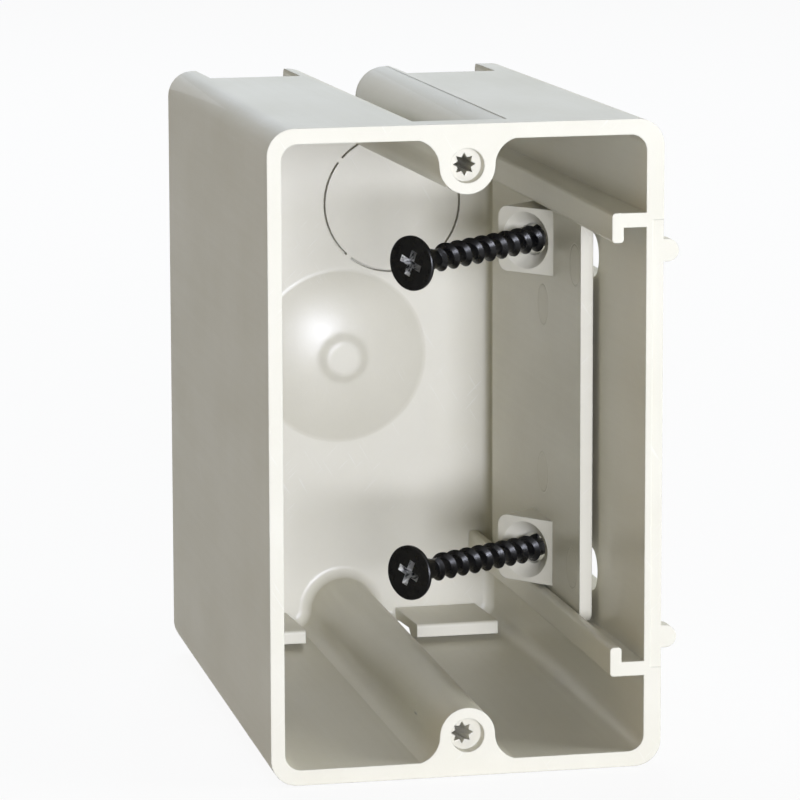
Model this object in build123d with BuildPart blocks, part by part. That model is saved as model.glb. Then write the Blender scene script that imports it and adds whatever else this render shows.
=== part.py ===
"""Adjustable switch box: a deep one-device plastic box that slides on a bracket screwed to a stud.

Frame: the origin is the centre of the front rim, midway between the two device screw holes.
+X points to the stud, +Y goes into the wall and +Z is up. All sizes are in millimetres.
"""
import os
from math import acos, atan, atan2, cos, degrees, radians, sin, sqrt

from build123d import *

os.makedirs("parts", exist_ok=True)

# Box envelope at the front rim, and how far the walls and the free side wall lean in over the depth
box_width = 58.2
box_height = 95.4
box_depth = 90.6
draft = 1.15
side_draft = 1.7
corner_radius = 3.9
back_edge_radius = 1.0

# Walls: the stud wall carries the track, is straight outside and is thicker than the others
wall = 2.05
end_wall = 2.25
stud_wall = 2.6
back_wall = 2.1
inner_corner_radius = 2.4
floor_fillet = 1.8

# Device screws: distance from the rim's ends, mouth recess and the star-shaped grip hole below it
device_inset = 6.03
recess_radius = 2.5
recess_depth = 2.0
star_radius = 1.65
star_valley_radius = 1.05
star_points = 8
star_turn_lower = 10.5
boss_radius = 3.4
boss_length = 16.0

# Gutters: half-round ridges inside the top and bottom walls, hollow from outside
lobe_radius = 4.1
gutter_flare = 4.0
gutter_web = 5.0
wall_bite = 0.15

# Cable entries: a notch in each end wall and a clamp tongue that closes it
entry_near = 8.6
entry_width = 14.3
entry_length = 13.7
entry_web = 3.6
tongue_side_gap = 0.5
tongue_length = 15.8
tongue_depth = 5.6
tongue_drop = 0.6
tongue_thickness = 1.8
nose_face = 2.1
nose_length = 3.2
nose_flat = 1.4
nose_gap = 0.2
nose_lip = 0.5

# Knockout in the back wall: a disc scored round deeply, with a thin web left and narrow bridges
knockout_radius = 11.1
knockout_x = 8.7
knockout_z = 24.6
score_width = 0.3
score_web = 0.3
bridge_width = 1.0
bridge_angle = 50
step_radius = 12.7
step_depth = 0.3

# Gate well: a dome into the box with a dish of the same thickness behind it
dome_radius = 13.9
dome_height = 3.0
dome_fillet = 1.5
button_radius = 4.1
button_top_radius = 2.7
button_height = 0.6
gate_radius = 1.2
gate_height = 0.8

# Track on the inside of the stud wall: two L-shaped rails that face each other
track_half_height = 32.0
rail_thickness = 2.1
rail_reach = 5.1
rail_leg = 1.7
rail_lip = 2.2
rail_rounding = 0.5
root_bite = 0.3

# Slots that let the fixing screws through the stud wall
slot_inset = 8.0
slot_height = 6.6
slot_front = 25.2
slot_length = 35.8

# Stop nubs on the stud side of the rim, and the parting step of the mould's side slide
nub_inset = 3.5
nub_height = 3.3
nub_reach = 2.3
nub_depth = 3.0
parting_inset = 1.65
parting_reach = 1.0
parting_step = 0.15

# Bracket: a plate that runs in the track with two wedge blocks for the screws
leg_clearance = 0.2
track_play = 0.5
bracket_sag = 0.1
plate_front = 24.8
plate_thickness = 1.9
plate_length = 55.2
plate_corner = 2.0
block_rise = 0.12
block_length = 10.8
block_height = 10.1
block_corner = 1.8
block_setback = 20.7
screw_angle = 37.5

# Fixing screws: coarse thread over a plain core, bugle head with a cross recess
screw_length = 38.1
screw_radius = 2.1
screw_point = 6.5
head_radius = 4.15
head_edge = 0.5
head_height = 3.6
recess_arm_radius = 2.1
recess_arm_width = 1.05
recess_cross_depth = 2.4
recess_core = 1.1
recess_turn = -22
screw_clearance = 0.35
sink_clearance = 0.25
upper_reach = 27.5
upper_droop = 0.9
lower_reach = 28.2
lower_droop = -1.9

inner_depth = box_depth - back_wall
stud_face = box_width / 2
track_wall = stud_face - stud_wall
draft_angle = degrees(atan(draft / box_depth))
device_pitch = box_height - 2 * device_inset
entry_floor = box_height / 2 - entry_web
tongue_height = box_height / 2 - tongue_depth
slot_z = track_half_height - slot_inset
block_z = slot_z + block_rise
ends = (1, -1)

# Gate well: the dome and the dish behind it are caps of two spheres with one centre
sphere_radius = (dome_radius**2 + dome_height**2) / (2 * dome_height)
sphere_y = inner_depth - dome_height + sphere_radius
dish_radius = sphere_radius - back_wall
dish_mouth = sqrt(dish_radius**2 - (sphere_y - box_depth) ** 2)


def cap_y(radius, ball):
    """Depth of the spherical cap of the given ball at a radius from the gate well's axis."""
    return sphere_y - sqrt(ball**2 - radius**2)


def cap_angle(radius, ball):
    """Direction, in degrees, from the ball's centre to its cap at a radius from the axis."""
    return -degrees(acos(radius / ball))


def across(y, end=1):
    """Plane across the box at depth y, with X to the stud and its second axis up, or down for end -1."""
    return Plane(origin=(0, y, 0), x_dir=(end, 0, 0), z_dir=(0, -1, 0))


def drafted(y):
    """How far a drafted wall has leaned in at depth y."""
    return draft * y / box_depth


def end_edge(y, inset=0.0):
    """Height of the top wall at depth y, on its outer face or inset from it."""
    return box_height / 2 - drafted(y) - inset


def screw_axis_plane(y, end):
    """Plane across the box at depth y with its origin on the upper or lower device screw's axis."""
    return Plane(origin=(0, y, end * device_pitch / 2), x_dir=(end, 0, 0), z_dir=(0, -1, 0))


def rim_section(left, right, end_inset):
    """Outline across the box at the rim, from X left to X right, with sharp corners."""
    with BuildSketch(across(0)) as section:
        with Locations(((left + right) / 2, 0)):
            Rectangle(right - left, 2 * end_edge(0, end_inset))
    return section.sketch


def side_plane(inset):
    """Plane of the free side wall's face, inset from its outer face, looking away from the box."""
    return Plane(origin=(inset - box_width / 2, 0, 0), z_dir=(-box_depth, side_draft, 0))


def corner_edges(faces):
    """The four long edges of a block: the lowest and the highest edge of its left and right faces."""
    sides = (faces.sort_by(Axis.X)[0], faces.sort_by(Axis.X)[-1])
    return [side.edges().sort_by(Axis.Z)[rank] for side in sides for rank in (0, -1)]


def gutter_section(y, growth, cover, end):
    """Lobe round a device screw's axis whose flanks flare into the end wall, seen at depth y.

    The draft makes the lobe grow and the flares shrink with the depth. growth 0 gives the ridge inside
    the box, and the wall's thickness gives the hollow behind it. cover is how far the section goes on
    above the flares.
    """
    lobe = lobe_radius + drafted(y) - growth
    flare = gutter_flare - drafted(y) + growth
    rise = end_edge(0, end_wall) + wall_bite - gutter_flare - device_pitch / 2
    flare_x = sqrt((lobe + flare) ** 2 - rise**2)
    tilt = degrees(atan2(rise, flare_x))
    with BuildSketch(screw_axis_plane(y, end)) as section:
        with BuildLine():
            CenterArc((0, 0), lobe, -90, 90 + tilt)
            CenterArc((flare_x, rise), flare, 90, 90 + tilt)
            top = rise + flare
            Polyline((flare_x, top), (flare_x, top + cover), (0, top + cover))
            mirror(about=Plane.YZ)
        make_face()
    return section.sketch


def star_sketch():
    """Grip hole for a device screw: a star whose points and valleys alternate round its axis."""
    step = radians(180 / star_points)
    corners = []
    for turn in range(2 * star_points):
        radius = star_valley_radius if turn % 2 else star_radius
        corners.append((radius * cos(turn * step), radius * sin(turn * step)))
    Polygon(*corners, align=None)


# Cavity: the space inside the walls, with the ridges standing into it and a rounded edge round its floor
with BuildPart() as cavity:
    cavity_outline = rim_section(-box_width / 2, track_wall, end_wall)
    for end in ends:
        cavity_outline -= gutter_section(0, 0, wall, end)
    extrude(cavity_outline, amount=-inner_depth, taper=draft_angle)
    split(bisect_by=side_plane(wall), keep=Keep.BOTTOM)
    fillet(corner_edges(cavity.faces()), inner_corner_radius)
    fillet(cavity.faces().sort_by(Axis.Y)[-1].edges(), floor_fillet)

# Box shell
with BuildPart() as box_shell:
    # Outer block, leaning in towards the back, with its stud face cut straight, less the cavity
    block_outline = rim_section(-box_width / 2 - corner_radius, stud_face + corner_radius, 0)
    extrude(block_outline, amount=-box_depth, taper=draft_angle)
    split(bisect_by=Plane.YZ.offset(stud_face), keep=Keep.BOTTOM)
    split(bisect_by=side_plane(0), keep=Keep.BOTTOM)
    fillet(corner_edges(box_shell.faces()), corner_radius)
    fillet(box_shell.edges().group_by(Axis.Y)[-1], back_edge_radius)
    add(cavity.part, mode=Mode.SUBTRACT)

    # Hollows of the gutters, open at the back, and the device screw bosses in them
    for end in ends:
        hollow = gutter_section(box_depth, wall, corner_radius, end)
        extrude(hollow, amount=box_depth - gutter_web, taper=draft_angle, mode=Mode.SUBTRACT)
        with BuildSketch(screw_axis_plane(gutter_web - root_bite, end)):
            Circle(boss_radius)
        extrude(amount=gutter_web - root_bite - boss_length)
        with BuildSketch(screw_axis_plane(0, end)):
            Circle(recess_radius)
        extrude(amount=-recess_depth, mode=Mode.SUBTRACT)
        with BuildSketch(screw_axis_plane(0, end).rotated((0, 0, 0 if end > 0 else star_turn_lower))):
            star_sketch()
        extrude(amount=-boss_length - root_bite, mode=Mode.SUBTRACT)

    # Dome of the gate well: a spherical cap with a low button, rounded out into the floor
    with BuildSketch(Plane.XY):
        with BuildLine():
            Polyline(
                (dome_radius, inner_depth),
                (dome_radius, inner_depth + root_bite),
                (0, inner_depth + root_bite),
                (0, inner_depth - dome_height - button_height),
                (button_top_radius, inner_depth - dome_height - button_height),
                (button_radius, cap_y(button_radius, sphere_radius)),
            )
            inner_end = cap_angle(button_radius, sphere_radius)
            outer_end = cap_angle(dome_radius, sphere_radius)
            CenterArc((0, sphere_y), sphere_radius, inner_end, outer_end - inner_end)
        make_face()
    revolve(axis=Axis.Y)
    dome_edge = box_shell.edges().filter_by(GeomType.CIRCLE).filter_by(
        lambda edge: abs(edge.radius - dome_radius) < wall_bite
    )
    fillet(dome_edge, dome_fillet)

    # Dish behind the dome, a wall's thickness away from it, with the stub that the gate leaves
    with BuildSketch(Plane.XY):
        with BuildLine():
            Polyline(
                (dish_mouth, box_depth),
                (dish_mouth, box_depth + root_bite),
                (0, box_depth + root_bite),
                (0, inner_depth - dome_height + back_wall + gate_height),
                (gate_radius, inner_depth - dome_height + back_wall + gate_height),
                (gate_radius, cap_y(gate_radius, dish_radius)),
            )
            inner_end = cap_angle(gate_radius, dish_radius)
            outer_end = cap_angle(dish_mouth, dish_radius)
            CenterArc((0, sphere_y), dish_radius, inner_end, outer_end - inner_end)
        make_face()
    revolve(axis=Axis.Y, mode=Mode.SUBTRACT)

    # Knockout: a ring of deep grooves broken by bridges, and a shallow step round it on the outside
    with BuildSketch(across(box_depth)):
        with Locations((knockout_x, knockout_z)):
            Circle(step_radius)
            Circle(knockout_radius, mode=Mode.SUBTRACT)
    extrude(amount=step_depth, dir=(0, -1, 0), mode=Mode.SUBTRACT)
    with BuildSketch(across(inner_depth)):
        with Locations((knockout_x, knockout_z)):
            Circle(knockout_radius + score_width / 2)
            Circle(knockout_radius - score_width / 2, mode=Mode.SUBTRACT)
            for turn in (bridge_angle, bridge_angle + 90):
                Rectangle(3 * knockout_radius, bridge_width, rotation=turn, mode=Mode.SUBTRACT)
    extrude(amount=step_depth + score_web - back_wall, mode=Mode.SUBTRACT)

    # Cable entries: notches through the end walls and the edge of the back wall
    for end in ends:
        for side in (1, -1):
            entry_x = side * (entry_near + entry_width / 2)
            with BuildSketch(across(box_depth - entry_length, end)):
                with Locations((entry_x, entry_floor + corner_radius)):
                    Rectangle(entry_width, 2 * corner_radius)
            extrude(amount=-2 * entry_length, mode=Mode.SUBTRACT)

            # Clamp tongue: rooted on the back wall, with a sloping nose that lets the cable in
            tip_y = inner_depth - tongue_length
            tip_z = tongue_height - tongue_drop
            nose_y = tip_y + nose_length
            nose_z = end_edge(nose_y, end_wall) - nose_gap
            with BuildSketch(Plane.YZ.offset(end * entry_x)) as tongue:
                with BuildLine():
                    Polyline(
                        (inner_depth + root_bite, end * tongue_height),
                        (tip_y, end * tip_z),
                        (tip_y, end * (tip_z + nose_face)),
                        (nose_y, end * nose_z),
                        (nose_y + nose_flat, end * nose_z),
                        (nose_y + 2 * nose_flat, end * (tip_z + tongue_thickness)),
                        (inner_depth + root_bite, end * (tongue_height + tongue_thickness)),
                        close=True,
                    )
                make_face()
                tip = tongue.vertices().group_by(Axis.X)[0]
                fillet(tip.sort_by(Axis.Y)[0 if end > 0 else -1], nose_lip)
            extrude(amount=entry_width / 2 - tongue_side_gap, both=True)

    # Track rails, from the rim to the back wall
    for end in ends:
        with BuildSketch(across(0, end)) as rail:
            with Locations((end * track_wall, track_half_height)):
                Rectangle(
                    rail_reach,
                    rail_thickness,
                    align=(Align.MAX if end > 0 else Align.MIN, Align.MIN),
                )
            with Locations((end * (track_wall - rail_reach), track_half_height + rail_thickness)):
                Rectangle(
                    rail_leg,
                    rail_thickness + rail_lip,
                    align=(Align.MIN if end > 0 else Align.MAX, Align.MAX),
                )
            leg_tip = rail.vertices().group_by(Axis.Y)[0]
            leg_heel = rail.vertices().group_by(Axis.X)[0 if end > 0 else -1].sort_by(Axis.Y)[-1]
            fillet([*leg_tip, leg_heel], rail_rounding)
            with Locations((end * track_wall, track_half_height)):
                Rectangle(
                    root_bite,
                    rail_thickness,
                    align=(Align.MIN if end > 0 else Align.MAX, Align.MIN),
                )
        extrude(amount=-(inner_depth + root_bite))

    # Slots through the stud wall
    with BuildSketch(Plane.YZ.offset(track_wall - draft)):
        with Locations(*[(slot_front + slot_length / 2, end * slot_z) for end in ends]):
            SlotOverall(slot_length, slot_height)
    extrude(amount=2 * stud_wall, mode=Mode.SUBTRACT)

    # Stop nubs on the stud side of the rim
    with BuildSketch(across(0)):
        with Locations(*[(stud_face, end * (track_half_height - nub_inset)) for end in ends]):
            SlotOverall(2 * nub_reach, nub_height)
    extrude(amount=-nub_depth)

    # Parting step: the outer half of the stud wall's rim lies slightly back between the gutters
    with BuildSketch(across(0)):
        with Locations((stud_face - parting_inset, 0)):
            Rectangle(
                parting_inset + 2 * nub_reach,
                2 * (track_half_height + parting_reach),
                align=(Align.MIN, Align.CENTER),
            )
    extrude(amount=-parting_step, mode=Mode.SUBTRACT)

box_shell.part.label = "box_shell"
export_step(box_shell.part, "parts/box_shell.step")

# Slider bracket, at rest near the back of the track
plate_inner = track_wall - rail_reach + rail_leg + leg_clearance
plate_half_height = track_half_height - track_play
screw_x = cos(radians(screw_angle))
screw_y = sin(radians(screw_angle))
hole_x = plate_inner - block_length * screw_y / 2
hole_y = plate_front + block_setback
hole_radius = screw_radius + screw_clearance
sink_radius = head_radius + sink_clearance

with BuildPart() as slider_bracket:
    # Wedge blocks: prisms along the screws, whose low edge meets the plate
    for end in ends:
        face_plane = Plane(
            origin=(hole_x, hole_y, end * block_z - bracket_sag),
            x_dir=(-screw_y, screw_x, 0),
            z_dir=(-screw_x, -screw_y, 0),
        )
        with BuildSketch(face_plane) as block:
            Rectangle(block_length, block_height)
            fillet(block.vertices().group_by(Axis.X)[-1], block_corner)
        extrude(amount=-2 * block_length)
    split(bisect_by=Plane.YZ.offset(plate_inner + root_bite), keep=Keep.BOTTOM)

    # Plate with rounded corners and a rounded front edge
    with BuildSketch(Plane.YZ.offset(plate_inner)):
        with Locations((plate_front + plate_length / 2, -bracket_sag)):
            RectangleRounded(plate_length, 2 * plate_half_height, plate_corner)
    extrude(amount=plate_thickness)

    # Screw holes through block and plate, each with a sink for the bugle head
    for end in ends:
        sink_plane = Plane(
            origin=(hole_x, hole_y, end * block_z - bracket_sag),
            x_dir=(-screw_y, screw_x, 0),
            z_dir=(-screw_x, -screw_y, 0),
        )
        with Locations(sink_plane):
            CounterSinkHole(hole_radius, sink_radius, counter_sink_angle=90)

slider_bracket.part.label = "slider_bracket"
export_step(slider_bracket.part, "parts/slider_bracket.step")


def screw_plane(end, reach, droop):
    """Plane on a screw's head face: its normal points out of the head, its X axis lies level."""
    axis = Vector(screw_x, screw_y, sin(radians(droop))).normalized()
    face = Vector(hole_x, hole_y, end * block_z - bracket_sag) - axis * reach
    return Plane(origin=face, x_dir=(-screw_y, screw_x, 0), z_dir=-axis)


# Fixing screws, part way in: each leans a little in its hole by its clearance
for name, end, reach, droop in (
    ("screw_upper", 1, upper_reach, upper_droop),
    ("screw_lower", -1, lower_reach, lower_droop),
):
    head_plane = screw_plane(end, reach, droop)
    with BuildPart() as screw:
        # Turned profile: head edge, bugle flare, plain core and point
        profile_plane = Plane(origin=head_plane.origin, x_dir=head_plane.x_dir, z_dir=head_plane.y_dir)
        with BuildSketch(profile_plane):
            with BuildLine():
                Polyline((0, 0), (head_radius, 0), (head_radius, head_edge))
                Bezier(
                    (head_radius, head_edge),
                    (screw_radius, head_edge + head_height / 3),
                    (screw_radius, head_height),
                )
                Polyline(
                    (screw_radius, head_height),
                    (screw_radius, screw_length - screw_point),
                    (0, screw_length),
                    (0, 0),
                )
            make_face()
        revolve(axis=Axis(head_plane.origin, -head_plane.z_dir))

        # Cross recess that narrows to its floor
        with BuildSketch(head_plane):
            for turn in (0, 90):
                Rectangle(2 * recess_arm_radius, recess_arm_width, rotation=turn + recess_turn)
        with BuildSketch(head_plane.offset(-recess_cross_depth)):
            for turn in (0, 90):
                Rectangle(recess_core, recess_core / 2, rotation=turn + recess_turn)
        loft(mode=Mode.SUBTRACT)
    screw.part.label = name
    export_step(screw.part, f"parts/{name}.step")
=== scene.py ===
# %% [markdown]
# # Adjustable switch box
#
# The object is a deep plastic box for one switch. It slides on a bracket, and two black screws run
# slantwise through the bracket into a stud. All measures in this lesson are metres. The origin is the
# centre of the box's front rim, X points to the stud, Y goes into the wall and Z is up.
#
# The four solid parts come ready made as a fixed frame. Here they get a camera, a small studio, their
# finishes and screws with a real thread. The frame is never moved: only its materials are set.

# %% Load the frame
import math

import bpy
from mathutils import Matrix, Vector


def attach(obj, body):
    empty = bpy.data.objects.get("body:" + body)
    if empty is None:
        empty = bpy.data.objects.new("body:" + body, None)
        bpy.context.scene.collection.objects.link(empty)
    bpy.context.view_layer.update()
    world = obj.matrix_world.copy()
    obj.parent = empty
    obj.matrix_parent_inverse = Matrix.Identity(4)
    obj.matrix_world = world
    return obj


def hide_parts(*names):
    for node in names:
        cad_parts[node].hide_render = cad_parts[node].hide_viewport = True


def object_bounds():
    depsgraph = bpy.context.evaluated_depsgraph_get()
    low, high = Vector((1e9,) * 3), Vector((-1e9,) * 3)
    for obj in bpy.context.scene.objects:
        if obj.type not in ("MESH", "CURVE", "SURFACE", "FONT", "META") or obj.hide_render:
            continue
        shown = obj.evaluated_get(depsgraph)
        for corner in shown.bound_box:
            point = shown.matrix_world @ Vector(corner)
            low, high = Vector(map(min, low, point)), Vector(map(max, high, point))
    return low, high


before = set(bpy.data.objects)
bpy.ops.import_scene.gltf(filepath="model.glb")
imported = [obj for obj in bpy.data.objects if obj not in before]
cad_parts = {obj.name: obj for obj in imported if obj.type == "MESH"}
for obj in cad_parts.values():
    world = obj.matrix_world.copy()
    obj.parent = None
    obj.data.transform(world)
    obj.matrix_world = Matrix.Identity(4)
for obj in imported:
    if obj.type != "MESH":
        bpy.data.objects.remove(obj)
frame_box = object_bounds()
print("parts:", sorted(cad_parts))
print("lowest and highest corner:", [tuple(round(v, 4) for v in corner) for corner in frame_box])

# %% [markdown]
# ## Camera
#
# A product picture of a small box is taken from far away with a long lens, so that its edges stay nearly
# parallel. The camera stands to the left of the box and a little above it. Its three axes are written
# out, because a matrix says exactly where right, up and forward are, without any order of turning.

# %% Camera
VIEW_POINT = Vector((-0.159247, -0.665216, 0.128101))
VIEW_RIGHT = Vector((0.975616, -0.219468, -0.002684))
VIEW_UP = Vector((0.040581, 0.168356, 0.98489))

camera_data = bpy.data.cameras.new("product_camera")
camera_data.sensor_width = 36.0
camera_data.lens = 217.70
camera = bpy.data.objects.new("product_camera", camera_data)
bpy.context.scene.collection.objects.link(camera)
turn = Matrix((VIEW_RIGHT, VIEW_UP, VIEW_RIGHT.cross(VIEW_UP))).transposed().to_4x4()
camera.matrix_world = Matrix.Translation(VIEW_POINT) @ turn
bpy.context.scene.camera = camera
bpy.context.scene.view_settings.view_transform = "Standard"
print("camera is", round(VIEW_POINT.length, 3), "m from the rim's centre")

# %% [markdown]
# ## Helpers for materials
#
# Every finish is built from nodes. Three small helpers keep the cells short: one adds a node and fills
# its inputs, one does a sum on two values, and one stretches a range of values to another range. An input
# may be a number or the output of another node.

# %% Helpers for nodes
def fill(tree, node, values):
    """Sets a node's inputs by name or number: a node's output is linked, anything else is a value."""
    for key, value in values.items():
        if isinstance(value, bpy.types.NodeSocket):
            tree.links.new(value, node.inputs[key])
        else:
            node.inputs[key].default_value = value


def add_node(tree, kind, values=None, **settings):
    """Adds a node of a kind, with its settings and its inputs."""
    node = tree.nodes.new(kind)
    for name, value in settings.items():
        setattr(node, name, value)
    fill(tree, node, values or {})
    return node


def sums(tree, operation, first, second=0.0, clamp=False):
    """One step of arithmetic on values."""
    return add_node(tree, "ShaderNodeMath", {0: first, 1: second}, operation=operation, use_clamp=clamp).outputs[0]


def remap(tree, value, low, high, to_low=0.0, to_high=1.0):
    """Stretches the range from low to high to another range, without going past its ends."""
    node = add_node(tree, "ShaderNodeMapRange", {0: value, 1: low, 2: high, 3: to_low, 4: to_high})
    return node.outputs[0]


def blend_colours(tree, share, first, second):
    """Goes from the first colour to the second as the share goes from 0 to 1."""
    node = add_node(tree, "ShaderNodeMix", {0: share, 6: first, 7: second}, data_type="RGBA")
    return node.outputs[2]


def stretched_noise(tree, vector, stretch, scale, detail=2.0, roughness=0.5):
    """Soft noise on a vector that is first scaled by its own factor along each axis."""
    stretched = add_node(tree, "ShaderNodeMapping", {"Vector": vector, "Scale": stretch})
    noise = add_node(
        tree,
        "ShaderNodeTexNoise",
        {"Vector": stretched.outputs[0], "Scale": scale, "Detail": detail, "Roughness": roughness},
    )
    return noise.outputs["Fac"]


print("helpers ready")

# %% [markdown]
# ## Floor and background
#
# The box stands on a pale floor in front of white. A floor that is lit until it is white would also throw
# too much light up at the box. So the floor is an ordinary pale one for light that bounces, and mostly a
# plain white for what the camera and reflections see. A small share of the real surface is left in it, so
# that the box's shadow still shows.

# %% Floor
def seen_directly(tree):
    """1 for a ray from the camera, a reflection or a ray through glass, and 0 for bounced light."""
    path = add_node(tree, "ShaderNodeLightPath")
    seen = sums(tree, "MAXIMUM", path.outputs["Is Camera Ray"], path.outputs["Is Glossy Ray"])
    return sums(tree, "MAXIMUM", seen, path.outputs["Is Transmission Ray"])


FLOOR_SIZE = 8.0
FLOOR_DROP = 0.0002
WHITE_SHARE = 0.93

bpy.ops.object.select_all(action="DESELECT")
bpy.ops.mesh.primitive_plane_add(size=FLOOR_SIZE, location=(0, 0, frame_box[0].z - FLOOR_DROP))
floor = bpy.context.object
floor.name = "floor"

paper = bpy.data.materials.new("floor_paper")
paper.use_nodes = True
tree = paper.node_tree
tree.nodes.clear()
fleck = stretched_noise(tree, add_node(tree, "ShaderNodeTexCoord").outputs["Object"], (1, 1, 1), 300.0)
paper_colour = blend_colours(tree, fleck, (0.78, 0.78, 0.77, 1), (0.82, 0.82, 0.81, 1))
real_paper = add_node(tree, "ShaderNodeBsdfDiffuse", {"Color": paper_colour})
plain_white = add_node(tree, "ShaderNodeEmission", {"Color": (1, 1, 1, 1), "Strength": 1.0})
white_share = sums(tree, "MULTIPLY", seen_directly(tree), WHITE_SHARE)
shown = add_node(tree, "ShaderNodeMixShader", {0: white_share, 1: real_paper.outputs[0], 2: plain_white.outputs[0]})
add_node(tree, "ShaderNodeOutputMaterial", {"Surface": shown.outputs[0]})
floor.data.materials.append(paper)
print("floor at height", round(floor.location.z, 4))

# %% [markdown]
# The world behind the floor works in the same way: white to the camera and in reflections, and a dim, warm
# tone for the light that it gives. A dim surrounding keeps the side that is turned away from the lamps
# darker than the rim, which shows the depth of the box.

# %% World
SURROUND_COLOUR = (1.0, 0.88, 0.58, 1)
SURROUND_STRENGTH = 0.04

world = bpy.data.worlds.new("studio")
bpy.context.scene.world = world
world.use_nodes = True
tree = world.node_tree
tree.nodes.clear()
surround = add_node(tree, "ShaderNodeBackground", {"Color": SURROUND_COLOUR, "Strength": SURROUND_STRENGTH})
backdrop = add_node(tree, "ShaderNodeBackground", {"Color": (1, 1, 1, 1), "Strength": 1.0})
white_share = seen_directly(tree)
shown = add_node(tree, "ShaderNodeMixShader", {0: white_share, 1: surround.outputs[0], 2: backdrop.outputs[0]})
add_node(tree, "ShaderNodeOutputWorld", {"Surface": shown.outputs[0]})
print("surrounding light", SURROUND_STRENGTH)

# %% [markdown]
# ## Lamps
#
# Four soft lamps light the box. The main one stands in front at the height of the box and looks straight
# into the opening, so the rim and the back wall are bright and the four inner walls are lit at a flat
# angle. Its light is a trace blue, because the plastic is warm and its white parts should look neutral.
# One at the right shines across the opening onto the inner face of the left wall, which the camera doesn't
# see but which lights the inside. One behind lights the top wall, and a weak, warm one at the left lifts
# the long side. A large lamp has soft shadows, as a studio's softbox has.

# %% Lamps
LAMP_AIM = Vector((0, 0.03, 0))


def softbox(name, place, width, power, colour):
    """A square lamp at a place, turned to face the middle of the box's front."""
    data = bpy.data.lights.new(name, "AREA")
    data.shape = "SQUARE"
    data.size = width
    data.energy = power
    data.color = colour
    lamp = bpy.data.objects.new(name, data)
    bpy.context.scene.collection.objects.link(lamp)
    lamp.location = place
    lamp.rotation_euler = (LAMP_AIM - Vector(place)).to_track_quat("-Z", "Y").to_euler()
    print(name, power, "W at", place)
    return lamp


softbox("front_softbox", (-0.05, -1.36, 0.10), 0.4, 22.5, (0.83, 0.86, 1.0))
softbox("right_softbox", (1.25, -0.4, 0.35), 0.7, 13.0, (0.95, 0.98, 1.0))
softbox("back_softbox", (0.0, 0.9, 0.9), 0.7, 10.4, (0.75, 0.84, 1.0))
softbox("left_softbox", (-1.25, -0.3, 0.3), 0.7, 1.3, (1.0, 0.68, 0.25))

# %% [markdown]
# ## Effects that the finishes share
#
# A moulded plastic part is never quite even. Five effects are built once, as node groups, and placed in
# each material with values of its own. The first is the surface that the mould leaves: wide cloudy
# patches from the way the melt cooled, and a fine ripple like orange peel.

# %% Group: mould surface
VALUE = "NodeSocketFloat"
VECTOR = "NodeSocketVector"


def new_group(name, inputs, outputs):
    """An empty node group with named sockets. Each input is (name, kind, default)."""
    group = bpy.data.node_groups.new(name, "ShaderNodeTree")
    for label, kind, default in inputs:
        made = group.interface.new_socket(name=label, in_out="INPUT", socket_type=kind)
        made.default_value = default
    for label, kind in outputs:
        group.interface.new_socket(name=label, in_out="OUTPUT", socket_type=kind)
    return group, group.nodes.new("NodeGroupInput").outputs, group.nodes.new("NodeGroupOutput")


mould_surface, given, result = new_group(
    "Mould Surface",
    [("Vector", VECTOR, (0, 0, 0)), ("Patch Scale", VALUE, 70.0), ("Ripple Scale", VALUE, 900.0)],
    [("Patches", VALUE), ("Ripple", VALUE), ("Speckle", VALUE)],
)
patches = stretched_noise(mould_surface, given["Vector"], (1, 0.6, 1), given["Patch Scale"], 4.0, 0.55)
ripple = stretched_noise(mould_surface, given["Vector"], (1, 1, 1), given["Ripple Scale"], 3.0, 0.6)
speckle = stretched_noise(mould_surface, given["Vector"], (1, 1, 1), 5200.0, 1.0)
fill(
    mould_surface,
    result,
    {"Patches": remap(mould_surface, patches, 0.3, 0.7), "Ripple": ripple, "Speckle": speckle},
)
print("group", mould_surface.name, "with", len(mould_surface.nodes), "nodes")

# %% [markdown]
# When the finished part is pushed off the core of the mould, the walls slide along the steel. That leaves
# fine straight streaks in the direction of the draw, here along Y. Faces that look along Y never slide,
# so the streaks are faded out there with the surface's own direction.

# %% Group: draw marks
draw_marks, given, result = new_group(
    "Draw Marks",
    [("Vector", VECTOR, (0, 0, 0)), ("Scale", VALUE, 1100.0)],
    [("Streaks", VALUE)],
)
streaks = stretched_noise(draw_marks, given["Vector"], (1, 0.008, 1), given["Scale"], 3.0, 0.6)
direction = add_node(draw_marks, "ShaderNodeNewGeometry").outputs["True Normal"]
direction = add_node(draw_marks, "ShaderNodeSeparateXYZ", {0: direction})
sideways = sums(draw_marks, "SUBTRACT", 1.0, sums(draw_marks, "ABSOLUTE", direction.outputs["Y"]))
kept = remap(draw_marks, sideways, 0.3, 0.8)
fill(draw_marks, result, {"Streaks": sums(draw_marks, "MULTIPLY", remap(draw_marks, streaks, 0.3, 0.8), kept)})
print("group", draw_marks.name, "with", len(draw_marks.nodes), "nodes")

# %% [markdown]
# Handling leaves short hair scratches. Each lies in the plane of its face, so the place is first measured
# in that plane: once across a slanted direction and once along it. Flat noise that is squeezed across the
# direction gives thin lines. Two directions are used, and a second, wide noise keeps the lines in a few
# places, so that they are short.

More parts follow.
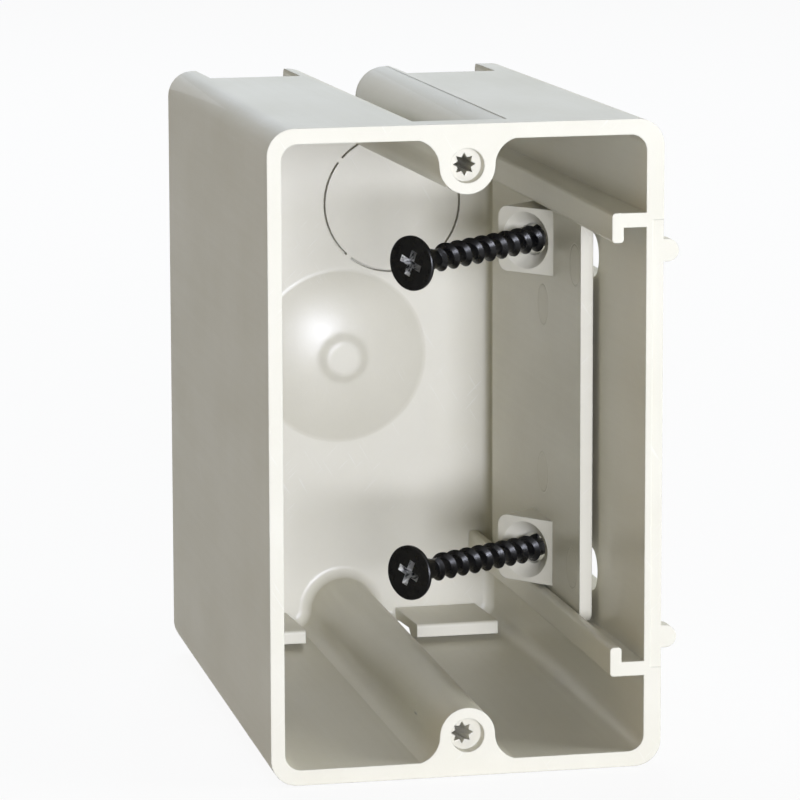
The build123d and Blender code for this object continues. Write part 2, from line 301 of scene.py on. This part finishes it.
# %% Group: hair scratches
hair_scratches, given, result = new_group(
    "Hair Scratches",
    [("Vector", VECTOR, (0, 0, 0)), ("Amount", VALUE, 0.5)],
    [("Scratches", VALUE)],
)
lines = None
face_direction = add_node(hair_scratches, "ShaderNodeNewGeometry").outputs["Normal"]
for slant in ((0.62, 0.48, 0.62), (-0.35, 0.72, 0.6)):
    across = add_node(
        hair_scratches, "ShaderNodeVectorMath", {0: face_direction, 1: slant}, operation="CROSS_PRODUCT"
    )
    along = add_node(
        hair_scratches, "ShaderNodeVectorMath", {0: across.outputs[0], 1: face_direction}, operation="CROSS_PRODUCT"
    )
    measures = []
    for measured, scale in ((across, 3200.0), (along, 160.0)):
        reach = add_node(
            hair_scratches,
            "ShaderNodeVectorMath",
            {0: given["Vector"], 1: measured.outputs[0]},
            operation="DOT_PRODUCT",
        )
        measures.append(sums(hair_scratches, "MULTIPLY", reach.outputs["Value"], scale))
    on_face = add_node(hair_scratches, "ShaderNodeCombineXYZ", {0: measures[0], 1: measures[1]}).outputs[0]
    hairs = add_node(
        hair_scratches, "ShaderNodeTexNoise", {"Vector": on_face, "Scale": 1.0, "Detail": 1.0}, noise_dimensions="2D"
    )
    hairs = remap(hair_scratches, hairs.outputs["Fac"], 0.72, 0.79)
    lines = hairs if lines is None else sums(hair_scratches, "MAXIMUM", lines, hairs)
places = remap(hair_scratches, stretched_noise(hair_scratches, given["Vector"], (1, 1, 1), 130.0), 0.5, 0.62)
lines = sums(hair_scratches, "MULTIPLY", lines, places)
fill(hair_scratches, result, {"Scratches": sums(hair_scratches, "MULTIPLY", lines, given["Amount"])})
print("group", hair_scratches.name, "with", len(hair_scratches.nodes), "nodes")

# %% [markdown]
# No real edge is perfectly sharp. The Bevel node reads the surface a fraction of a millimetre round each
# point and gives a rounded direction, so that edges catch a thin line of light. How far that direction
# leaves the true one also says where the edges are, where the finishes paint the colour lighter: partly as
# wear and partly as a painted highlight.

# %% Group: soft edges
soft_edges, given, result = new_group(
    "Soft Edges",
    [("Radius", VALUE, 0.0003)],
    [("Normal", VECTOR), ("Edges", VALUE)],
)
rounded = add_node(soft_edges, "ShaderNodeBevel", {"Radius": given["Radius"]}, samples=6)
true_direction = add_node(soft_edges, "ShaderNodeNewGeometry").outputs["Normal"]
agreement = add_node(
    soft_edges, "ShaderNodeVectorMath", {0: rounded.outputs[0], 1: true_direction}, operation="DOT_PRODUCT"
)
fill(
    soft_edges,
    result,
    {"Normal": rounded.outputs[0], "Edges": remap(soft_edges, agreement.outputs["Value"], 0.995, 0.8)},
)
print("group", soft_edges.name, "with", len(soft_edges.nodes), "nodes")

# %% [markdown]
# Steel pins push the part out of the mould, and each leaves a thin ring where its edge met the plastic.
# The ring is drawn as a band at a fixed distance from a centre. The distance is measured in the plane of
# the face only, and only a face that looks the right way gets the ring.

# %% Group: pin ring
pin_ring, given, result = new_group(
    "Pin Ring",
    [
        ("Vector", VECTOR, (0, 0, 0)),
        ("Centre", VECTOR, (0, 0, 0)),
        ("Facing", VECTOR, (-1, 0, 0)),
        ("Radius", VALUE, 0.003),
        ("Line", VALUE, 0.0002),
    ],
    [("Ring", VALUE), ("Disc", VALUE)],
)
away = add_node(pin_ring, "ShaderNodeVectorMath", {0: given["Vector"], 1: given["Centre"]}, operation="SUBTRACT")
along = add_node(
    pin_ring, "ShaderNodeVectorMath", {0: away.outputs[0], 1: given["Facing"]}, operation="CROSS_PRODUCT"
)
distance = add_node(pin_ring, "ShaderNodeVectorMath", {0: along.outputs[0]}, operation="LENGTH").outputs["Value"]
off_line = sums(pin_ring, "ABSOLUTE", sums(pin_ring, "SUBTRACT", distance, given["Radius"]))
ring = sums(pin_ring, "SUBTRACT", 1.0, sums(pin_ring, "DIVIDE", off_line, given["Line"]), clamp=True)
inside = sums(pin_ring, "LESS_THAN", distance, given["Radius"])
direction = add_node(pin_ring, "ShaderNodeNewGeometry").outputs["True Normal"]
turned = add_node(pin_ring, "ShaderNodeVectorMath", {0: direction, 1: given["Facing"]}, operation="DOT_PRODUCT")
facing = sums(pin_ring, "GREATER_THAN", turned.outputs["Value"], 0.95)
fill(
    pin_ring,
    result,
    {"Ring": sums(pin_ring, "MULTIPLY", ring, facing), "Disc": sums(pin_ring, "MULTIPLY", inside, facing)},
)
print("group", pin_ring.name, "with", len(pin_ring.nodes), "nodes")

# %% [markdown]
# ## Box plastic
#
# The box is one moulding of a warm off-white plastic with a dull gloss. The colour wanders a little with
# the patches and streaks, and scratches are a trace lighter. Edges are painted a trace lighter too, partly
# as wear and partly as a painted highlight. The streaks and the ripple lift the surface by a few
# hundredths of a millimetre. One function makes this finish, because the bracket is moulded of the same
# plastic in another shade.

# %% Finish of a moulded part
def place_group(tree, group, values):
    """Places a shared effect in a material, with its own values."""
    node = add_node(tree, "ShaderNodeGroup", node_tree=group)
    fill(tree, node, values)
    return node.outputs


MID_WALL_LEFT = -0.02725
MID_WALL_RIGHT = 0.0278
MID_WALL_TOP = 0.046
MID_WALL_BACK = 0.0895
RIM_END = 0.0002


def inside_box(tree, where):
    """1 between the walls of the box and 0 on its outer faces: the limits lie in the middle of the walls."""
    place = add_node(tree, "ShaderNodeSeparateXYZ", {0: where}).outputs
    side = sums(tree, "GREATER_THAN", place["X"], MID_WALL_LEFT)
    side = sums(tree, "MULTIPLY", side, sums(tree, "LESS_THAN", place["X"], MID_WALL_RIGHT))
    level = sums(tree, "LESS_THAN", sums(tree, "ABSOLUTE", place["Z"]), MID_WALL_TOP)
    depth = sums(tree, "LESS_THAN", place["Y"], MID_WALL_BACK)
    depth = sums(tree, "MULTIPLY", depth, sums(tree, "GREATER_THAN", place["Y"], RIM_END))
    return sums(tree, "MULTIPLY", side, sums(tree, "MULTIPLY", level, depth))


FINE_EDGE = 0.00028
BUTTON_EDGE = 0.0014
BUTTON_REACH = 0.0052
BUTTON_END = 0.0064


def edge_radius(tree, where):
    """How far edges are softened: a fine edge all over, and a wide one on the low button of the gate well."""
    level = add_node(tree, "ShaderNodeVectorMath", {0: where, 1: (1, 0, 1)}, operation="MULTIPLY").outputs[0]
    distance = add_node(tree, "ShaderNodeVectorMath", {0: level}, operation="LENGTH").outputs["Value"]
    return remap(tree, distance, BUTTON_REACH, BUTTON_END, BUTTON_EDGE, FINE_EDGE)


def moulded_plastic(name, colour, shade, edge_colour, inner_roughness, outer_roughness, rings=()):
    """A material of moulded plastic. Each ring is (centre, facing, radius) of a pin's mark."""
    material = bpy.data.materials.new(name)
    material.use_nodes = True
    tree = material.node_tree
    tree.nodes.clear()
    where = add_node(tree, "ShaderNodeTexCoord").outputs["Object"]
    surface = place_group(tree, mould_surface, {"Vector": where})
    marks = place_group(tree, draw_marks, {"Vector": where})["Streaks"]
    scratches = place_group(tree, hair_scratches, {"Vector": where, "Amount": 0.6})["Scratches"]
    edges = place_group(tree, soft_edges, {"Radius": edge_radius(tree, where)})

    body = blend_colours(tree, sums(tree, "MULTIPLY", surface["Patches"], 0.5), colour, shade)
    body = blend_colours(tree, sums(tree, "MULTIPLY", marks, 0.3), body, shade)
    body = blend_colours(tree, sums(tree, "MULTIPLY", surface["Speckle"], 0.12), body, edge_colour)
    # Edges are painted lighter: partly wear, partly a painted highlight where an edge would catch the light.
    edge_wear_and_highlight = sums(tree, "MULTIPLY", edges["Edges"], 0.45)
    light = sums(tree, "MAXIMUM", edge_wear_and_highlight, sums(tree, "MULTIPLY", scratches, 0.6))
    body = blend_colours(tree, light, body, edge_colour)

    gloss = remap(tree, inside_box(tree, where), 0.0, 1.0, outer_roughness, inner_roughness)
    gloss = sums(tree, "ADD", gloss, sums(tree, "MULTIPLY", surface["Patches"], 0.07))
    gloss = sums(tree, "ADD", gloss, sums(tree, "MULTIPLY", marks, 0.04))
    gloss = sums(tree, "ADD", gloss, sums(tree, "MULTIPLY", scratches, 0.15))

    height = sums(tree, "MULTIPLY", surface["Ripple"], 0.5)
    height = sums(tree, "ADD", height, sums(tree, "MULTIPLY", marks, 0.08))
    height = sums(tree, "SUBTRACT", height, sums(tree, "MULTIPLY", scratches, 0.4))
    for centre, facing, radius in rings:
        mark = place_group(tree, pin_ring, {"Vector": where, "Centre": centre, "Facing": facing, "Radius": radius})
        height = sums(tree, "SUBTRACT", height, sums(tree, "MULTIPLY", mark["Ring"], 5.0))
        body = blend_colours(tree, sums(tree, "MULTIPLY", mark["Ring"], 0.8), body, shade)
        gloss = sums(tree, "ADD", gloss, sums(tree, "MULTIPLY", mark["Disc"], 0.05))
    bump = add_node(
        tree, "ShaderNodeBump", {"Strength": 0.35, "Distance": 0.0001, "Height": height, "Normal": edges["Normal"]}
    )
    plastic = add_node(
        tree,
        "ShaderNodeBsdfPrincipled",
        {"Base Color": body, "Roughness": gloss, "Normal": bump.outputs[0], "IOR": 1.5, "Specular IOR Level": 0.5},
    )
    add_node(tree, "ShaderNodeOutputMaterial", {"Surface": plastic.outputs[0]})
    print("material", name, "with", len(tree.nodes), "nodes")
    return material


BOX_COLOUR = (0.69, 0.662, 0.55, 1)
BOX_SHADE = (0.63, 0.60, 0.478, 1)
BOX_EDGE = (0.78, 0.77, 0.70, 1)
box_plastic = moulded_plastic("box_plastic", BOX_COLOUR, BOX_SHADE, BOX_EDGE, 0.32, 0.52)

# %% [markdown]
# ## Bracket plastic
#
# The bracket is moulded of the same plastic, a trace greyer. On the side that looks into the box its
# plate has the rings of the ejector pins.

# %% Bracket plastic
PLATE_FACE = 0.0233
PIN_RADIUS = 0.0031
PIN_PLACES = ((0.0474, 0.0138), (0.0472, -0.0125), (0.0282, 0.0226), (0.0294, -0.0240))
PLATE_RINGS = [((PLATE_FACE, depth, height), (-1, 0, 0), PIN_RADIUS) for depth, height in PIN_PLACES]

BRACKET_COLOUR = (0.65, 0.622, 0.512, 1)
BRACKET_SHADE = (0.57, 0.54, 0.432, 1)
BRACKET_EDGE = (0.75, 0.74, 0.67, 1)
bracket_plastic = moulded_plastic(
    "bracket_plastic", BRACKET_COLOUR, BRACKET_SHADE, BRACKET_EDGE, 0.30, 0.30, PLATE_RINGS
)


def dress(node, material):
    """Gives a part of the frame a finish: all its material slots take it."""
    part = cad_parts[node]
    for number in range(len(part.material_slots)):
        part.material_slots[number].material = material
    print(node, "wears", material.name)


dress("box_shell", box_plastic)
dress("slider_bracket", bracket_plastic)

# %% [markdown]
# ## Screw finish
#
# The screws are hardened steel with a black phosphate coat: a very dark, fine crystalline layer with an
# oily gloss. Along the edges, such as the thread's crests and the edges of the recess, the colour is
# painted lighter: partly wear where the coat rubs thin, partly a painted highlight.

# %% Screw finish
screw_black = bpy.data.materials.new("screw_black")
screw_black.use_nodes = True
tree = screw_black.node_tree
tree.nodes.clear()
where = add_node(tree, "ShaderNodeTexCoord").outputs["Object"]
crystals = add_node(tree, "ShaderNodeTexVoronoi", {"Vector": where, "Scale": 9000.0}).outputs["Distance"]
cloud = stretched_noise(tree, where, (1, 1, 1), 700.0, 3.0)
edges = place_group(tree, soft_edges, {"Radius": 0.00012})
# The edges are painted lighter: partly wear of the coat, partly a painted highlight.
coat_wear_and_highlight = sums(tree, "MULTIPLY", edges["Edges"], remap(tree, cloud, 0.45, 0.65))
coat_colour = blend_colours(tree, cloud, (0.002, 0.002, 0.0024, 1), (0.006, 0.006, 0.0065, 1))
coat_colour = blend_colours(tree, sums(tree, "MULTIPLY", coat_wear_and_highlight, 0.6), coat_colour, (0.10, 0.10, 0.098, 1))
coat_gloss = sums(tree, "ADD", remap(tree, cloud, 0.3, 0.7, 0.18, 0.32), sums(tree, "MULTIPLY", crystals, 0.1))
coat_height = sums(tree, "ADD", sums(tree, "MULTIPLY", crystals, 0.6), cloud)
coat_bump = add_node(
    tree, "ShaderNodeBump", {"Strength": 0.3, "Distance": 0.00004, "Height": coat_height, "Normal": edges["Normal"]}
)
coat = add_node(
    tree,
    "ShaderNodeBsdfPrincipled",
    {"Base Color": coat_colour, "Roughness": coat_gloss, "Normal": coat_bump.outputs[0], "Specular IOR Level": 0.3},
)
add_node(tree, "ShaderNodeOutputMaterial", {"Surface": coat.outputs[0]})
print("material", screw_black.name, "with", len(tree.nodes), "nodes")

# %% [markdown]
# The driver's bit scrapes the coat off the walls of the cross recess, so bright steel shows there through
# what is left of the black. This is the same metal with its own, shinier finish.

# %% Finish of the recess
recess_steel = bpy.data.materials.new("recess_steel")
recess_steel.use_nodes = True
tree = recess_steel.node_tree
tree.nodes.clear()
where = add_node(tree, "ShaderNodeTexCoord").outputs["Object"]
scraped = remap(tree, stretched_noise(tree, where, (1, 1, 1), 1400.0, 3.0), 0.36, 0.54)
steel_colour = blend_colours(tree, scraped, (0.04, 0.04, 0.04, 1), (0.78, 0.78, 0.77, 1))
steel_gloss = remap(tree, scraped, 0.0, 1.0, 0.5, 0.38)
steel_bump = add_node(tree, "ShaderNodeBump", {"Strength": 0.3, "Distance": 0.00003, "Height": scraped})
steel = add_node(
    tree,
    "ShaderNodeBsdfPrincipled",
    {"Base Color": steel_colour, "Roughness": steel_gloss, "Metallic": 1.0, "Normal": steel_bump.outputs[0]},
)
add_node(tree, "ShaderNodeOutputMaterial", {"Surface": steel.outputs[0]})
print("material", recess_steel.name, "with", len(tree.nodes), "nodes")

# %% [markdown]
# ## Threaded screws
#
# Such a screw has a bugle head: a flat top, a short upright edge and a curved flare that runs into the
# shank. It is drawn out of one circle, ring by ring: each extrude makes the next ring, which is then
# moved down the axis and resized. The same way goes on down the core to the point. The screw is made
# upright, with the top of its head at height 0, and is put in place when it is whole.

# %% Screw body
HEAD_RADIUS = 0.00415
HEAD_EDGE = 0.0005
HEAD_CHAMFER = 0.00015
HEAD_HEIGHT = 0.0036
CORE_RADIUS = 0.00142
NECK_RADIUS = 0.0016
NECK_END = HEAD_HEIGHT + 0.0012
THREAD_RADIUS = 0.0021
THREAD_PITCH = 0.0029
POINT_LENGTH = 0.0065
SCREW_LENGTH = 0.0381
HEAD_SIDES = 64


def nothing_selected():
    """Leaves edit mode and deselects everything, so that a tool only acts on the next piece."""
    if bpy.context.object and bpy.context.object.mode != "OBJECT":
        bpy.ops.object.mode_set(mode="OBJECT")
    bpy.ops.object.select_all(action="DESELECT")


def next_ring(radius_now, radius, drop):
    """Extrudes the selected ring down the axis by a drop, and resizes it to a new radius."""
    bpy.ops.mesh.extrude_region_move(TRANSFORM_OT_translate={"value": (0, 0, -drop)})
    factor = radius / radius_now
    bpy.ops.transform.resize(value=(factor, factor, 1))


def screw_body(name):
    """Head, neck, core and point of a screw, as one closed turned shape."""
    nothing_selected()
    bpy.ops.mesh.primitive_circle_add(vertices=HEAD_SIDES, radius=HEAD_RADIUS - HEAD_CHAMFER, fill_type="NGON")
    body = bpy.context.object
    body.name = name
    bpy.ops.object.mode_set(mode="EDIT")
    bpy.ops.mesh.select_all(action="SELECT")
    now, depth = HEAD_RADIUS - HEAD_CHAMFER, 0.0
    flare = [
        (NECK_RADIUS + (HEAD_RADIUS - NECK_RADIUS) * (1 - step) ** 2.3, HEAD_EDGE + (HEAD_HEIGHT - HEAD_EDGE) * step)
        for step in (0.12, 0.26, 0.42, 0.6, 0.8, 1.0)
    ]
    straight = SCREW_LENGTH - POINT_LENGTH
    rings = [(HEAD_RADIUS, HEAD_CHAMFER), (HEAD_RADIUS, HEAD_EDGE), *flare, (NECK_RADIUS, NECK_END)]
    rings += [(CORE_RADIUS, NECK_END + 0.0006), (CORE_RADIUS, straight)]
    rings += [(CORE_RADIUS * 0.6, straight + POINT_LENGTH * 0.5), (0.00012, SCREW_LENGTH)]
    for radius, level in rings:
        next_ring(now, radius, level - depth)
        now, depth = radius, level
    bpy.ops.mesh.select_all(action="SELECT")
    bpy.ops.mesh.normals_make_consistent(inside=False)
    bpy.ops.object.mode_set(mode="OBJECT")
    print(name, "body has", len(body.data.polygons), "faces")
    return body


# %% [markdown]
# The thread is a ridge with a V profile that winds round the core. The Screw modifier turns a profile
# round an axis and lifts it at the same time, which is just what a thread is. The profile is a small
# triangle whose base lies inside the core. At both ends the ridge runs out: the last bands of it are
# drawn in towards the axis step by step, so that it fades at the neck and follows the taper at the point.

# %% Thread
THREAD_TOP = HEAD_HEIGHT + 0.0016
THREAD_STEPS = 40
THREAD_HALF_BASE = 0.00085
THREAD_ROOT = CORE_RADIUS - 0.0003
THREAD_END = 0.0006


def draw_in(piece, low, high, factor):
    """Resizes the part of a piece between two heights towards its axis."""
    bpy.ops.object.mode_set(mode="OBJECT")
    for vertex in piece.data.vertices:
        vertex.select = low < vertex.co.z < high
    bpy.ops.object.mode_set(mode="EDIT")
    bpy.ops.transform.resize(value=(factor, factor, 1), center_override=(0, 0, 0))


def screw_thread(name):
    """The winding ridge of a screw, still open at both ends."""
    nothing_selected()
    bottom = -SCREW_LENGTH + THREAD_END
    turns = int((-THREAD_TOP - bottom) / THREAD_PITCH)
    bpy.ops.mesh.primitive_circle_add(vertices=3, radius=0.0004, location=(0, 0, 0), fill_type="NOTHING")
    ridge = bpy.context.object
    ridge.name = name
    corners = (
        (THREAD_ROOT, 0, -THREAD_HALF_BASE),
        (THREAD_RADIUS, 0, 0),
        (THREAD_ROOT, 0, THREAD_HALF_BASE),
    )
    for vertex, corner in zip(ridge.data.vertices, corners):
        vertex.co = Vector(corner) + Vector((0, 0, bottom + THREAD_HALF_BASE))
    winding = ridge.modifiers.new("winding", "SCREW")
    winding.axis = "Z"
    winding.angle = 2 * math.pi
    winding.screw_offset = THREAD_PITCH
    winding.iterations = turns
    winding.steps = winding.render_steps = THREAD_STEPS
    winding.use_normal_calculate = True
    bpy.ops.object.modifier_apply(modifier="winding")
    print(name, "has", turns, "turns and", len(ridge.data.polygons), "faces")
    return ridge


# %% [markdown]
# The recess in the head is a cross that gets narrower towards its floor. It is cut with two crossed
# wedges: each is a bar whose lower end is resized, and the Boolean modifier takes both out of the head.
# The body and the thread are then joined to one piece, and shading is made smooth except at real edges.

# %% Cross recess and whole screw
ARM_LENGTH = 0.0042
ARM_WIDTH = 0.00105
RECESS_DEPTH = 0.0024
RECESS_CORE = 0.0011
CUT_OVERRUN = 0.0002
SMOOTH_ANGLE = math.radians(32)


def recess_wedge(turn):
    """One bar of the cross: full size at the top of the head, small at the recess's floor."""
    nothing_selected()
    bpy.ops.mesh.primitive_cube_add(size=1.0, location=(0, 0, 0))
    wedge = bpy.context.object
    bpy.ops.object.mode_set(mode="EDIT")
    bpy.ops.transform.resize(value=(ARM_LENGTH, ARM_WIDTH, RECESS_DEPTH))
    bpy.ops.transform.translate(value=(0, 0, -RECESS_DEPTH / 2))
    bpy.ops.object.mode_set(mode="OBJECT")
    for vertex in wedge.data.vertices:
        lower = vertex.co.z < -RECESS_DEPTH / 2
        vertex.co.x *= RECESS_CORE / ARM_LENGTH if lower else 1.0
        vertex.co.y *= 0.5 if lower else 1.0
        vertex.co.z = -RECESS_DEPTH if lower else CUT_OVERRUN
    wedge.rotation_euler = (0, 0, turn)
    return wedge


def whole_screw(name, head_centre, direction, head_turn):
    """A threaded screw with its head at a point and its shank along a direction."""
    body = screw_body(name)
    for quarter in (0, math.pi / 2):
        wedge = recess_wedge(head_turn + quarter)
        nothing_selected()
        bpy.context.view_layer.objects.active = body
        body.select_set(True)
        cut = body.modifiers.new("recess", "BOOLEAN")
        cut.operation = "DIFFERENCE"
        cut.solver = "EXACT"
        cut.object = wedge
        bpy.ops.object.modifier_apply(modifier="recess")
        bpy.data.objects.remove(wedge)

    body.data.materials.append(screw_black)
    body.data.materials.append(recess_steel)
    for face in body.data.polygons:
        middle = face.center
        near_axis = math.hypot(middle.x, middle.y) < ARM_LENGTH / 2
        inside_recess = near_axis and -RECESS_DEPTH - 0.0001 < middle.z < -0.0001 and len(face.vertices) < 12
        face.material_index = 1 if inside_recess else 0

    ridge = screw_thread(name + "_ridge")
    ridge.data.materials.append(screw_black)
    lowest = min(vertex.co.z for vertex in ridge.data.vertices)
    highest = max(vertex.co.z for vertex in ridge.data.vertices)
    for step in range(6):
        draw_in(ridge, lowest - 1, -SCREW_LENGTH + POINT_LENGTH * (1 - step / 6.5), 0.86 - 0.05 * step)
    for step in range(4):
        draw_in(ridge, highest - THREAD_PITCH * (0.6 - 0.15 * step), highest + 1, 0.9)
    bpy.ops.mesh.select_all(action="DESELECT")
    bpy.ops.mesh.select_non_manifold()
    bpy.ops.mesh.edge_face_add()
    bpy.ops.mesh.select_all(action="SELECT")
    bpy.ops.mesh.normals_make_consistent(inside=False)
    bpy.ops.object.mode_set(mode="OBJECT")

    nothing_selected()
    ridge.select_set(True)
    body.select_set(True)
    bpy.context.view_layer.objects.active = body
    bpy.ops.object.join()
    bpy.ops.object.shade_smooth_by_angle(angle=SMOOTH_ANGLE)

    level = Vector((-direction.y, direction.x, 0)).normalized()
    outward = -direction.normalized()
    axes = Matrix((level, outward.cross(level), outward)).transposed().to_4x4()
    body.matrix_world = Matrix.Translation(head_centre) @ axes
    bpy.ops.object.transform_apply(location=True, rotation=True, scale=True)
    print(name, "has", len(body.data.polygons), "faces")
    return body


# %% [markdown]
# Each screw leans a little in its hole, as in the real box, and has its own place and direction. It
# stands for the plain screw of the frame, which stays for collision, and rides on the same body, so that
# it follows when the screw is driven in.

# %% Place the screws
SLANT = math.radians(37.5)
HOLE_X = 0.0200127
HOLE_Y = 0.0455
HEAD_TURN = math.radians(-22)

for name, body_name, hole_z, reach, droop in (
    ("screw_upper", "upper_fixing", 0.02402, 0.0275, 0.9),
    ("screw_lower", "lower_fixing", -0.02422, 0.0282, -1.9),
):
    along_screw = Vector((math.cos(SLANT), math.sin(SLANT), math.sin(math.radians(droop)))).normalized()
    head_centre = Vector((HOLE_X, HOLE_Y, hole_z)) - along_screw * reach
    screw = whole_screw("threaded_" + name, head_centre, along_screw, HEAD_TURN)
    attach(screw, body_name)
    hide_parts(name)
